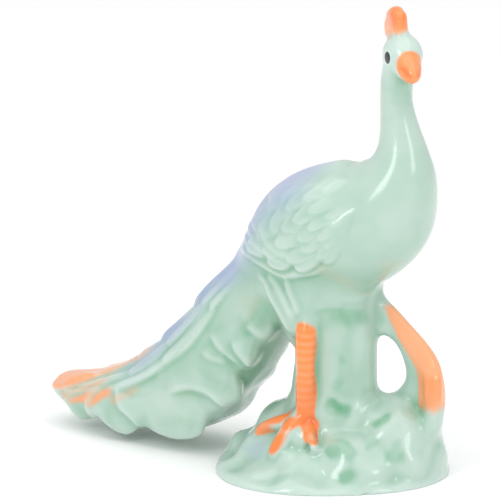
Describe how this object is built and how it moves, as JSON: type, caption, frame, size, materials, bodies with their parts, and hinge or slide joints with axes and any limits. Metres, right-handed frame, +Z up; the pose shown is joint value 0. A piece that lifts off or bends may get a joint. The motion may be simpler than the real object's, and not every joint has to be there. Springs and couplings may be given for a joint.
{
  "type": "peacock figurine",
  "caption": "Glazed ceramic peacock standing on a rock, its head turned to its right and its long train sweeping down behind to just above the ground.",
  "frame": {"origin": "middle of the rock's flat underside", "axes": "+X the way the bird's breast faces, +Y towards its left side, +Z up"},
  "size_m": [0.152, 0.0756, 0.1606],
  "materials": {
    "glaze": "glossy pale green glaze, tinted orange, lilac and darker green in places"
  },
  "bodies": {
    "root": {"peacock": "glaze"}
  },
  "joints": []
}
